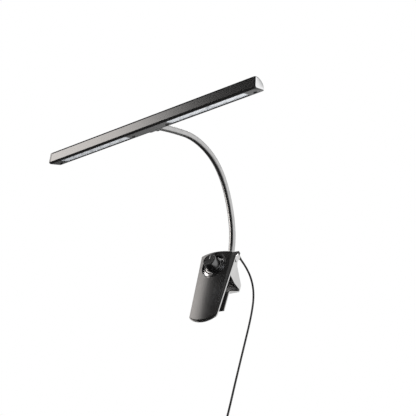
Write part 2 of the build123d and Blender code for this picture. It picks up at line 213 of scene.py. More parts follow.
def coilPoints(cord):
    end = Vector(cord["route"][-1])
    middle = end - Vector((0, cord["coilRadius"], cord["coilDrop"]))
    places = coilPlaces(cord)
    perTurn = cord["pointsPerTurn"]
    points = []
    for step in range(len(places) * perTurn + 1):
        turn, part = divmod(step / perTurn, 1.0)
        here = places[min(int(turn), len(places) - 1)]
        after = places[min(int(turn) + 1, len(places) - 1)]
        share = max(0.0, (part - 1 + cord["shiftShare"]) / cord["shiftShare"])
        share = share * share * (3 - 2 * share)  # eased
        out, side = [one + (two - one) * share for one, two in zip(here, after)]
        angle = -2 * math.pi * step / perTurn
        radius = cord["coilRadius"] + out
        points.append(middle + Vector((side, radius * math.cos(angle), radius * math.sin(angle))))
    return points


def makeLead(cord):
    low = Vector(cord["route"][-1]) - Vector((0, 0, 2 * cord["coilDrop"]))
    last = low - Vector((0, 0, cord["tail"] + cord["insidePlug"]))
    points = [cord["inside"], cord["exit"], *cord["route"], *coilPoints(cord), low, last]
    curve = bpy.data.curves.new("supplyLead", "CURVE")
    curve.dimensions = "3D"
    curve.bevel_depth = 1.0  # each point carries the cord's radius
    curve.bevel_resolution = 4
    curve.resolution_u = 4
    curve.use_fill_caps = True
    spline = curve.splines.new("NURBS")
    spline.points.add(len(points) - 1)
    for point, place in zip(spline.points, points):
        point.co = (*(Vector(place) * mm), 1)
        point.radius = cord["radius"] * mm
    spline.order_u = 3
    spline.use_endpoint_u = True
    lead = addObject("supplyLead", curve)
    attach(lead, "clip")
    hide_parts("lead", "lead_coil", "lead_tail")
    return lead, low - Vector((0, 0, cord["tail"]))


supplyLead, plugTop = makeLead(leadCord)

plugShape = {
    "body": (
        (1.3, 0.4), (1.9, 0.2), (2.2, -0.4), (2.5, -3.0), (3.2, -6.0), (4.2, -7.6), (4.55, -8.6),
    ),
    "ridges": 5,
    "ridgePitch": 2.2,
    "ridgeDepth": 0.45,
    "ridgeStart": -9.4,
    "ridgeWave": ((0.0, 0.0), (0.12, 1.0), (0.45, 1.0), (0.57, 0.0)),  # shares of pitch, depth
    "foot": ((4.55, -21.4), (4.5, -23.2), (4.1, -23.9), (2.7, -24.0)),
    "barrel": (
        (2.75, -24.0), (2.75, -32.9), (2.45, -33.4), (1.5, -33.48),
        (1.25, -33.2), (1.25, -26.0), (0.0, -26.0),
    ),
}


def makePlug(shape, top):
    place = Matrix.Translation(top * mm)
    profile = list(shape["body"])
    outer = profile[-1][0]
    for index in range(shape["ridges"]):
        start = shape["ridgeStart"] - index * shape["ridgePitch"]
        for share, depth in shape["ridgeWave"]:
            radius = outer - depth * shape["ridgeDepth"]
            profile.append((radius, start - share * shape["ridgePitch"]))
    profile += shape["foot"]
    body = makeTurned("plugBody", profile, place, "plug_plastic", "plug_body")
    barrel = makeTurned("plugBarrel", shape["barrel"], place, "plug_metal", "plug_barrel")
    return body, barrel


plugBody, plugBarrel = makePlug(plugShape, plugTop)
print("lead and plug made")

# Flexible neck: a spiral-wound tube in four lengths, each following the neck's curve through one
# joint
neckRun = {
    "start": (0.0, 16.5, 62.0),
    "linkLength": 53.0,
    "turns": (32.7, 22.5, 41.4, 29.4, 5.0),  # degrees that each link bends
    "root": -11.9,  # inside the socket
    "tip": 271.0,  # inside the bar's boss
    "radius": 4.17,
    "pitch": 1.4,
    "grooveDepth": 0.2,
    "wave": (  # shares of pitch, depth
        (0.0, 0.25), (0.1, 0.0), (0.62, 0.0), (0.74, 0.8), (0.84, 1.0),
    ),
    "segments": 30,
    "ease": 14.0,  # each side of a joint
}
neckLengths = (
    ("neckLow", "clip", "neck_2", 1, ("neck_link_1",)),
    ("neckRise", "neck_2", "neck_3", 2, ("neck_link_2",)),
    ("neckCrest", "neck_3", "neck_4", 3, ("neck_link_3",)),
    ("neckHigh", "neck_4", "head", 4, ("neck_link_4", "neck_link_5")),
)


def neckSpot(run, length):
    point = Vector(run["start"])
    angle = 0.0
    left = length
    for turn in run["turns"]:
        if left <= 0:
            break
        part = min(left, run["linkLength"])
        radius = run["linkLength"] / math.radians(turn)
        bend = part / radius
        back = math.cos(angle + bend) - math.cos(angle)
        rise = math.sin(angle + bend) - math.sin(angle)
        point += Vector((0, radius * back, radius * rise))
        angle += bend
        left -= part
    over = length if length < 0 else max(left, 0.0)
    return point + Vector((0, -math.sin(angle), math.cos(angle))) * over, angle


def neckCuts(run):  # turns of the winding where a length ends, midway between joints
    cuts = [0]
    for i in range(1, len(neckLengths)):
        end = (i + 0.5) * run["linkLength"]
        cuts.append(round((end - run["root"]) / run["pitch"]))
    cuts.append(int((run["tip"] - run["root"]) / run["pitch"]))
    return cuts


def makeNeckLength(run, number, name, replaced):
    joint = number * run["linkLength"]
    first, last = neckCuts(run)[number - 1:number + 1]
    bm = bmesh.new()
    rows = []
    for turn in range(first, last + 1):
        for share, depth in run["wave"] if turn < last else run["wave"][:1]:
            radius = run["radius"] - depth * run["grooveDepth"]
            row = []
            for i in range(run["segments"] + 1):
                around = i / run["segments"]
                spot, angle = neckSpot(run, run["root"] + (turn + share + around) * run["pitch"])
                across = Vector((math.cos(2 * math.pi * around), 0, 0))
                inward = Vector((0, math.cos(angle), math.sin(angle)))
                outward = across + inward * math.sin(2 * math.pi * around)
                row.append(bm.verts.new((spot + outward * radius) * mm))
            rows.append(row)
    skin(bm, rows, closed=False)
    weld(bm)
    piece = finishPiece(name, bm, None, "neck_chrome", *replaced, smooth=80)
    start = neckSpot(run, joint - run["ease"])[0] * mm
    end = neckSpot(run, joint + run["ease"])[0] * mm
    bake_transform(piece)


for name, bodyFrom, bodyTo, number, replaced in neckLengths:
    makeNeckLength(neckRun, number, name, replaced)
print("neck wound")

# Dial knob, turned about its spindle
dialKnob = {
    "seat": (0.0, -8.224, 37.5),
    "profile": (
        (11.2, 0.6), (11.55, 0.6), (11.8, 0.85), (11.8, 1.5), (11.73, 1.85), (11.5, 2.15),
        (11.2, 2.34), (10.9, 2.4), (10.3, 2.45), (9.95, 2.7), (9.76, 3.2), (9.64, 3.9),
        (9.2, 6.6), (8.85, 9.8), (8.6, 12.0), (8.5, 12.7), (8.25, 13.3), (7.8, 13.66),
        (7.2, 13.78), (6.8, 13.7), (6.3, 13.56), (4.0, 13.42), (0.0, 13.36),
    ),
    "under": ((11.2, 0.6), (7.7, 0.6), (7.7, 4.0), (3.04, 4.0)),
    "segments": 96,
    "faceFrom": 13.3,
    "pointer": {
        "from": 2.0,
        "to": 7.3,
        "half": 0.45,
        "lift": 0.12,  # over the dished face
        "proud": 0.03,
        "sunk": 0.6,
        "steps": 12,  # points round each end
    },
}


def makeKnob(knob):
    place = aimed(knob["seat"], (0, -1, 0))
    bm = bmesh.new()
    lathe(bm, knob["profile"], place, knob["segments"])
    lathe(bm, knob["under"], place, knob["segments"])
    weld(bm)
    toKnob = place.inverted()
    for face in bm.faces:  # the flat front is soft to the touch
        if (toKnob @ face.calc_center_median()).z / mm > knob["faceFrom"]:
            face.material_index = 1
    finishPiece("dialKnob", bm, "dial", "knob_plastic", "knob", smooth=35)
    makePointer(knob["pointer"], place, knob["profile"][-2][1])


def makePointer(line, place, dish):
    half, steps = line["half"], line["steps"]
    outline = []
    for end, start in ((line["to"], 0.0), (line["from"], math.pi)):
        for i in range(steps):
            angle = math.pi * i / (steps - 1) + start
            outline.append((half * math.cos(angle), end - half + half * math.sin(angle)))
    bm = bmesh.new()
    levels = []
    for level in (-line["sunk"], line["proud"]):
        height = dish + line["lift"] + level
        levels.append([addVert(bm, place, (x, y, height)) for x, y in outline])
    stitch(bm, *levels)
    bm.faces.new(levels[1])
    finishPiece("knobPointer", bm, "dial", "knob_plastic", smooth=30)


makeKnob(dialKnob)
print("knob turned")

# Light bar: its own axes, with the neck's mouth as origin
barShape = {
    "mouth": (0.0, -175.3628, 110.6896),
    "along": (0.99872, -0.03319, 0.03818),
    "back": (0.0, 0.75471, 0.65606),
    "front": -31.5,
    "floor": -7.5,
    "height": 14.0,
    "depth": 21.0,
    "setback": 6.5,
    "heel": 3.6,
    "heelInset": 1.0,
    "crown": 3.9,
    "crownSteps": 16,
    "edge": 0.9,
    "toe": 1.88,
    "cornerSteps": (6, 5, 4, 4),  # toe, brow, heel, tail
    "half": 145.0,
    "capLength": 4.0,
    "capRound": 2.2,
    "capSteps": 7,
    "rimFrom": 0.5,
    "capTongue": 2.0,
    "tongueInset": 1.9,
}


def barPlace(bar):
    along = Vector(bar["along"]).normalized()
    back = Vector(bar["back"]).normalized()
    return fromAxes(Vector(bar["mouth"]) * mm, along, back, along.cross(back))


headPlace = barPlace(barShape)


def underBar(spot):  # axes that look down, out of the bar's floor
    return headPlace @ Matrix.Translation(Vector(spot) * mm) @ Matrix.Rotation(math.pi, 4, "X")


def roundCorner(before, corner, after, radius, steps):
    one = (before - corner).normalized()
    two = (after - corner).normalized()
    half = one.angle(two) / 2
    reach = radius / math.tan(half)
    start = corner + one * reach
    end = corner + two * reach
    middle = corner + (one + two).normalized() * (radius / math.sin(half))
    arc = []
    for i in range(steps + 1):
        blend = start.lerp(end, i / steps) - middle
        arc.append(middle + blend.normalized() * radius)
    return arc


def barOutline(bar):
    toe = Vector((bar["front"], bar["floor"]))
    brow = Vector((bar["front"] + bar["setback"], bar["floor"] + bar["height"]))
    heel = Vector((bar["front"] + bar["depth"], bar["floor"] + bar["heel"]))
    tail = Vector((bar["front"] + bar["depth"] - bar["heelInset"], bar["floor"]))
    chord = heel - brow
    radius = (chord.length_squared / 4 + bar["crown"] ** 2) / (2 * bar["crown"])
    outward = Vector((-chord.y, chord.x)).normalized()
    middle = (brow + heel) / 2 - outward * (radius - bar["crown"])
    spread = math.asin(chord.length / 2 / radius)
    crown = []
    for i in range(1, bar["crownSteps"]):
        angle = spread - 2 * spread * i / bar["crownSteps"]
        over = outward * radius * math.cos(angle)
        crown.append(middle + over - chord.normalized() * radius * math.sin(angle))
    toeSteps, browSteps, heelSteps, tailSteps = bar["cornerSteps"]
    points = roundCorner(tail, toe, brow, bar["toe"], toeSteps)
    points += roundCorner(toe, brow, crown[0], bar["edge"], browSteps)
    points += crown[1:-1]
    points += roundCorner(crown[-1], heel, tail, bar["edge"], heelSteps)
    points += roundCorner(heel, tail, toe, bar["edge"], tailSteps)
    return points


def makeEndCap(bar, name, side, replaced):
    outline = barOutline(bar)
    center = sum(outline, Vector((0, 0))) / len(outline)
    inner = bar["half"] - bar["capLength"]
    tongue = bar["tongueInset"]
    levels = [(inner - bar["capTongue"], tongue), (inner, tongue), (inner, 0.0)]
    for i in range(bar["capSteps"] + 1):
        angle = math.pi / 2 * i / bar["capSteps"]
        x = bar["half"] - bar["capRound"] * (1 - math.sin(angle))
        levels.append((x, bar["capRound"] * (1 - math.cos(angle))))
    bm = bmesh.new()
    rings = []
    for x, inset in levels:
        ring = []
        for y, z in outline:
            dy = (y - center.x) * (1 - inset / (bar["depth"] / 2))
            dz = (z - center.y) * (1 - inset / (bar["height"] / 2))
            ring.append(addVert(bm, headPlace, (side * x, center.x + dy, center.y + dz)))
        rings.append(ring)
    skin(bm, rings, capped=True)
    toBar = headPlace.inverted()
    for face in bm.faces:  # the rim is black, the end is bright
        out = side * (toBar @ face.calc_center_median()).x / mm
        if out < bar["half"] - bar["rimFrom"]:
            face.material_index = 1
    finishPiece(name, bm, "head", "cap_silver", replaced, smooth=50)


makeEndCap(barShape, "endCapLeft", -1, "end_cap_left")
makeEndCap(barShape, "endCapRight", 1, "end_cap_right")

# Diodes and their reflector cups behind each window
lightRow = {
    "start": 28.0,
    "end": 129.0,
    "count": 7,
    "across": -20.7,
    "board": -1.6,
    "package": 3.4,
    "packageHeight": 0.9,
    "chamfer": 0.35,
    "dome": 1.25,
    "domeRise": 0.55,
    "domeSteps": 5,
    "domeSegments": 20,
    "cupMouth": (6.9, 4.9, 4.2),  # half length, half width, corner
    "cell": (7.2, 6.6, 0.3),
    "cupThroat": 2.45,
    "cupHigh": -2.1,
    "cupLow": -5.64,
    "cupCurve": 1.7,
    "cupSteps": 6,
    "cupSegments": 48,
}


def rimReach(rim, angle, halvings=30):  # distance out to the rounded rectangle
    wide, tall, corner = rim
    way = Vector((math.cos(angle), math.sin(angle)))
    low, high = 0.0, wide + tall
    for step in range(halvings):
        middle = (low + high) / 2
        x = max(abs(way.x) * middle - (wide - corner), 0.0)
        y = max(abs(way.y) * middle - (tall - corner), 0.0)
        if math.hypot(x, y) < corner:
            low = middle
        else:
            high = middle
    return low


def lightPlaces(row, side):
    pitch = (row["end"] - row["start"]) / row["count"]
    return [side * (row["start"] + (i + 0.5) * pitch) for i in range(row["count"])]


def makeCups(row, name, side):
    steps = row["cupSteps"]
    levels = [(row["cell"], 0.0)]  # flat edge round the cup
    levels += [(row["cupMouth"], step / steps) for step in range(steps + 1)]
    rise = row["cupHigh"] - row["cupLow"]
    bm = bmesh.new()
    for x in lightPlaces(row, side):
        rings = []
        for rim, share in levels:
            z = row["cupLow"] + rise * (1 - (1 - share) ** row["cupCurve"])
            ring = []
            for angle in angles(row["cupSegments"]):
                radius = rimReach(rim, angle) * (1 - share) + row["cupThroat"] * share
                y = row["across"] + radius * math.sin(angle)
                ring.append(addVert(bm, headPlace, (x + radius * math.cos(angle), y, z)))
            rings.append(ring)
        skin(bm, rings)
    finishPiece(name, bm, "head", "reflector_metal", smooth=60)


def makeDiodes(row, name, side, replaced):
    half = row["package"] / 2
    low = row["board"] - row["packageHeight"]
    levels = ((half, row["board"]), (half, low + row["chamfer"]), (half - row["chamfer"], low))
    dome = []
    for i in range(row["domeSteps"]):
        angle = math.pi / 2 * i / row["domeSteps"]
        dome.append((row["dome"] * math.cos(angle), row["domeRise"] * math.sin(angle)))
    dome.append((0.0, row["domeRise"]))
    bm = bmesh.new()
    for x in lightPlaces(row, side):
        rings = []
        for reach, z in levels:
            spots = [(x + a, row["across"] + b, z) for a, b in square(reach)]
            rings.append([addVert(bm, headPlace, spot) for spot in spots])
        skin(bm, rings, capped=True)
        first = len(bm.faces)
        lathe(bm, dome, underBar((x, row["across"], low)), row["domeSegments"])
        bm.faces.ensure_lookup_table()
        for face in bm.faces[first:]:
            face.material_index = 1
    finishPiece(name, bm, "head", "light_source", replaced, smooth=30)


makeCups(lightRow, "reflectorCupsRight", 1)
makeCups(lightRow, "reflectorCupsLeft", -1)
makeDiodes(lightRow, "diodesRight", 1, "lights_right")
makeDiodes(lightRow, "diodesLeft", -1, "lights_left")
print("bar ends and lights made")

# Screws with a domed head, a cross recess and a thread
screwForm = {
    "segments": 48,
    "rings": 16,
    "edgeDrop": 0.55,  # share of the rise
    "domeCurve": 2.4,
    "recessSlope": 0.5,
    "pitch": 0.6,
    "thread": 0.16,
    "threadStart": 0.3,
    "tip": 0.3,
}
barScrew = {
    **screwForm,
    "head": 2.1,
    "rise": 0.6,
    "shank": 1.05,
    "length": 6.9,
    "slot": 0.34,
    "arm": 1.25,
    "deep": 0.42,
    "along": (-136.5, -23.5, 23.5, 136.5),
    "across": -16.5,
}
coverScrew = {
    **screwForm,
    "head": 2.2,
    "rise": 0.9,
    "shank": 1.14,
    "length": 3.5,
    "slot": 0.36,
    "arm": 1.35,
    "deep": 0.5,
    "spots": ((-11.5, -23.0), (11.5, -23.0), (-15.0, 44.0), (15.0, 44.0)),
    "seat": -1.6,
}


def addScrew(bm, screw, place):
    rings = []
    for step in range(1, screw["rings"] + 1):
        share = step / screw["rings"]
        radius = screw["head"] * share
        ring = []
        for angle in angles(screw["segments"]):
            x, y = radius * math.cos(angle), radius * math.sin(angle)
            z = 0.0
            if share < 1:
                z = screw["rise"] * (1 - screw["edgeDrop"] * share ** screw["domeCurve"])
            near, far = sorted((abs(x), abs(y)))
            if near < screw["slot"] and far < screw["arm"]:
                z -= screw["deep"] * (1 - screw["recessSlope"] * far / screw["arm"])
            ring.append(addVert(bm, place, (x, y, z)))
        rings.append(ring)
    fan(bm, addVert(bm, place, (0, 0, screw["rise"] - screw["deep"])), rings[0])
    skin(bm, rings)
    profile = [(screw["head"], 0.0), (screw["shank"], 0.0)]
    core = screw["shank"] - screw["thread"]
    for turn in range(int(screw["length"] / screw["pitch"]) - 1):
        start = -screw["threadStart"] - turn * screw["pitch"]
        profile += [(screw["shank"], start), (core, start - screw["pitch"] / 2)]
    profile += [(screw["tip"], -screw["length"]), (0.0, -screw["length"])]
    lathe(bm, profile, place, screw["segments"])


def makeScrews(screw, places, name, body, slot, replaced):
    bm = bmesh.new()
    for place in places:
        addScrew(bm, screw, place)
    weld(bm)
    finishPiece(name, bm, body, slot, replaced, smooth=35)


places = [underBar((x, barScrew["across"], barShape["floor"])) for x in barScrew["along"]]
makeScrews(barScrew, places, "barScrews", "head", "black_screw", "head_screws")
places = [aimed((x, coverScrew["seat"], z), (0, 1, 0)) for x, z in coverScrew["spots"]]
makeScrews(coverScrew, places, "coverScrews", "clip", "zinc_screw", "cover_screws")

# Rubber pads with gripping ribs
gripPads = {
    "front": (0.0, -1.6),  # face, back
    "rear": (3.0, 5.0),
    "half": 15.0,
    "reach": 17.0,
    "round": 3.0,
    "edge": 0.25,
    "endSteps": 6,
    "ribPitch": 2.4,
    "ribDepth": 0.55,
    "wave": (  # shares of pitch, depth
        (0.0, 0.0), (0.12, 0.1), (0.28, 0.85), (0.38, 1.0),
        (0.52, 1.0), (0.62, 0.85), (0.78, 0.1), (0.9, 0.0),
    ),
}


def padHalf(pad, z):
    over = abs(z) - (pad["reach"] - pad["round"])
    if over <= 0:
        return pad["half"]
    return pad["half"] - pad["round"] + math.sqrt(max(pad["round"] ** 2 - over**2, 0.0))


def padHeights(pad):
    lead = pad["ribPitch"] / 2
    start = lead - pad["reach"]
    count = int((2 * pad["reach"] - 2 * lead) / pad["ribPitch"])
    end = start + count * pad["ribPitch"]
    quarter = [math.pi / 2 * i / pad["endSteps"] for i in range(pad["endSteps"] + 1)]
    heights = [(-pad["reach"] + lead * (1 - math.cos(angle)), 0.0) for angle in quarter[:-1]]
    for rib in range(count):
        heights += [(start + (rib + share) * pad["ribPitch"], deep) for share, deep in pad["wave"]]
    heights += [(end + (pad["reach"] - end) * math.sin(angle), 0.0) for angle in quarter]
    return heights


def makePad(pad, name, sides, body, replaced):
    face, back = sides
    inward = 1 if back > face else -1
    edge = pad["edge"]
    bm = bmesh.new()
    rings = []
    for z, deep in padHeights(pad):
        half = padHalf(pad, z)
        front = face + inward * deep * pad["ribDepth"]
        side = front + inward * edge
        ring = [
            (-half, back), (half, back), (half, side),
            (half - edge, front), (-half + edge, front), (-half, side),
        ]
        rings.append([bm.verts.new(Vector((x, y, z)) * mm) for x, y in ring])
    skin(bm, rings, capped=True)
    finishPiece(name, bm, body, "pad_rubber", replaced, smooth=50)


makePad(gripPads, "frontPadRibbed", gripPads["front"], "clip", "front_pad")
makePad(gripPads, "rearPadRibbed", gripPads["rear"], "rear_jaw", "rear_pad")

# Cable gland with bending rings
glandShape = {
    "seat": (15.4, 9.5, 66.6),
    "flange": ((0.0, 0.0), (2.5, 0.0), (2.5, 0.8), (2.3, 1.1), (1.95, 1.2)),
    "rings": 4,
    "pitch": 1.35,
    "base": 1.9,
    "tip": 1.52,
    "cut": 0.3,
    "wave": ((0.0, 0.0), (0.5, 0.0), (0.6, 1.0), (0.88, 1.0)),  # shares of pitch, cut
    "start": 1.6,
    "end": 7.6,
    "lip": (0.12, 0.35),  # inset, height
    "bore": 1.0,
    "segments": 40,
}


def makeGland(gland):
    profile = list(gland["flange"])
    for ring in range(gland["rings"]):
        low = gland["start"] + ring * gland["pitch"]
        radius = gland["base"] + (gland["tip"] - gland["base"]) * ring / gland["rings"]
        for share, cut in gland["wave"]:
            profile.append((radius - cut * gland["cut"], low + share * gland["pitch"]))
    tip, end = gland["tip"], gland["end"]
    inset, height = gland["lip"]
    profile += [(tip, end - height), (tip - inset, end), (gland["bore"], end)]
    place = aimed(gland["seat"], (0, 1, 0))
    makeTurned(
        "cableGland", profile, place, "gland_rubber", "cable_gland", gland["segments"], smooth=35
    )


makeGland(glandShape)
print("screws, pads and gland made")


# Small tools for shaders
def feed(tree, socket, value):
    if isinstance(value, bpy.types.NodeSocket):
        tree.links.new(value, socket)
    else:
        socket.default_value = value


def addNode(tree, kind, settings=(), **values):
    node = tree.nodes.new(kind)
    for key, value in dict(settings).items():
        setattr(node, key, value)
    for key, value in values.items():
        label = int(key[1:]) if key[0] == "i" and key[1:].isdigit() else key
        feed(tree, node.inputs[label], value)
    return node


def mathNode(tree, operation, one, two=0.0, clamp=False):
    settings = {"operation": operation, "use_clamp": clamp}
    return addNode(tree, "ShaderNodeMath", settings, i0=one, i1=two).outputs[0]


def vectorNode(tree, operation, one, two=(0, 0, 0)):
    node = addNode(tree, "ShaderNodeVectorMath", {"operation": operation}, i0=one, i1=two)
    return node.outputs["Value" if operation in ("DOT_PRODUCT", "LENGTH") else "Vector"]


def noiseNode(tree, where, scale, detail, roughness=0.5):
    values = {"Vector": where, "Scale": scale, "Detail": detail, "Roughness": roughness}
    return addNode(tree, "ShaderNodeTexNoise", **values).outputs["Fac"]


def rangeNode(tree, value, fromLow, fromHigh, toLow=0.0, toHigh=1.0, smooth=False):
    settings = {"interpolation_type": "SMOOTHSTEP" if smooth else "LINEAR"}
    node = addNode(tree, "ShaderNodeMapRange", settings, Value=value)
    for index, number in enumerate((fromLow, fromHigh, toLow, toHigh), 1):
        feed(tree, node.inputs[index], number)
    return node.outputs[0]


def mixColour(tree, share, one, two):
    settings = {"data_type": "RGBA"}  # its colours are inputs 6 and 7 and output 2
    return addNode(tree, "ShaderNodeMix", settings, i0=share, i6=one, i7=two).outputs[2]


def newGroup(name, inputs, *outputs):
    group = bpy.data.node_groups.new(name, "ShaderNodeTree")
    for label, value in inputs.items():
        kind = "NodeSocketVector" if isinstance(value, tuple) else "NodeSocketFloat"
        socket = group.interface.new_socket(label, in_out="INPUT", socket_type=kind)
        socket.default_value = value
    for label in outputs:
        group.interface.new_socket(label, in_out="OUTPUT", socket_type="NodeSocketFloat")
    entry = group.nodes.new("NodeGroupInput").outputs
    return group, entry, group.nodes.new("NodeGroupOutput").inputs


# Shared shader effects
grainEffect = {
    "fine": (4.0, 0.6),  # detail, roughness of the noise
    "broad": (3.0, 0.55),
    "tone": (0.3, 0.7),
}


def makeGrainGroup(effect):
    inputs = {"Scale": 1500.0, "Stretch": (1, 1, 1), "Broad": 60.0}
    group, entry, result = newGroup("surfaceGrain", inputs, "Height", "Tone")
    where = addNode(group, "ShaderNodeTexCoord").outputs["Object"]
    drawn = vectorNode(group, "MULTIPLY", where, entry["Stretch"])
    fine = noiseNode(group, drawn, entry["Scale"], *effect["fine"])
    broad = noiseNode(group, drawn, entry["Broad"], *effect["broad"])
    group.links.new(fine, result["Height"])
    group.links.new(rangeNode(group, broad, *effect["tone"]), result["Tone"])
    return group


# Lighter edges: partly rubbed wear, partly a painted highlight along rounded edges
edgeWearAndHighlightEffect = {
    "samples": 6,
    "edge": (0.995, 0.9),  # cosine of the turn at an edge, none and full
    "detail": 3.0,
    "breaks": (0.4, 0.65),
}


def makeEdgeWearAndHighlightGroup(effect):
    group, entry, result = newGroup("edgeWearAndHighlight", {"Width": 0.0004, "Breakup": 500.0}, "Mask")
    settings = {"samples": effect["samples"]}
    rounded = addNode(group, "ShaderNodeBevel", settings, Radius=entry["Width"]).outputs[0]
    flat = addNode(group, "ShaderNodeNewGeometry").outputs["Normal"]
    edge = rangeNode(group, vectorNode(group, "DOT_PRODUCT", rounded, flat), *effect["edge"])
    where = addNode(group, "ShaderNodeTexCoord").outputs["Object"]
    broken = noiseNode(group, where, entry["Breakup"], effect["detail"])
    mask = mathNode(group, "MULTIPLY", edge, rangeNode(group, broken, *effect["breaks"]))
    group.links.new(mask, result["Mask"])
    return group


dustEffect = {
    "scale": 220.0,
    "specks": (5.0, 0.7),  # detail, roughness of the noise
    "upward": (0.2, 1.0),
    "gaps": (0.35, 0.75),
}


def makeDustGroup(effect):
    group, entry, result = newGroup("dustFilm", {"Amount": 0.2}, "Mask")
    facing = addNode(group, "ShaderNodeNewGeometry").outputs["Normal"]
    up = addNode(group, "ShaderNodeSeparateXYZ", i0=facing).outputs["Z"]
    where = addNode(group, "ShaderNodeTexCoord").outputs["Object"]
    specks = noiseNode(group, where, effect["scale"], *effect["specks"])
    lying = rangeNode(group, up, *effect["upward"])
    settled = mathNode(group, "MULTIPLY", lying, rangeNode(group, specks, *effect["gaps"]))
    group.links.new(mathNode(group, "MULTIPLY", settled, entry["Amount"]), result["Mask"])
    return group


def makeFacingGroup():
    inputs = {"Way": (0, -1, 0), "From": 0.5, "To": 0.85}
    group, entry, result = newGroup("facingMask", inputs, "Mask")
    facing = addNode(group, "ShaderNodeTexCoord").outputs["Normal"]
    turned = vectorNode(group, "DOT_PRODUCT", facing, entry["Way"])
    mask = rangeNode(group, turned, entry["From"], entry["To"], smooth=True)
    group.links.new(mask, result["Mask"])
    return group


def makeLineGroup():
    inputs = {"Point": (0, 0, 0), "Way": (1, 0, 0), "Near": 0.001, "Far": 0.002}
    group, entry, result = newGroup("lineMask", inputs, "Mask")
    where = addNode(group, "ShaderNodeTexCoord").outputs["Object"]
    apart = vectorNode(group, "SUBTRACT", where, entry["Point"])
    across = vectorNode(group, "CROSS_PRODUCT", apart, entry["Way"])
    reach = vectorNode(group, "LENGTH", across)
    mask = rangeNode(group, reach, entry["Far"], entry["Near"], smooth=True)
    group.links.new(mask, result["Mask"])
    return group


grainGroup = makeGrainGroup(grainEffect)
edgeWearAndHighlightGroup = makeEdgeWearAndHighlightGroup(edgeWearAndHighlightEffect)
dustGroup = makeDustGroup(dustEffect)
facingGroup = makeFacingGroup()
lineGroup = makeLineGroup()


def useGroup(tree, group, **values):
    node = tree.nodes.new("ShaderNodeGroup")
    node.node_tree = group
    for key, value in values.items():
        node.inputs[key].default_value = value
    return node.outputs


def barLine(y, z, near, far):  # along the bar, y from its front and z from its floor
    spot = headPlace @ (Vector((0, barShape["front"] + y, barShape["floor"] + z)) * mm)
    return {"Point": tuple(spot), "Way": barShape["along"], "Near": near, "Far": far}


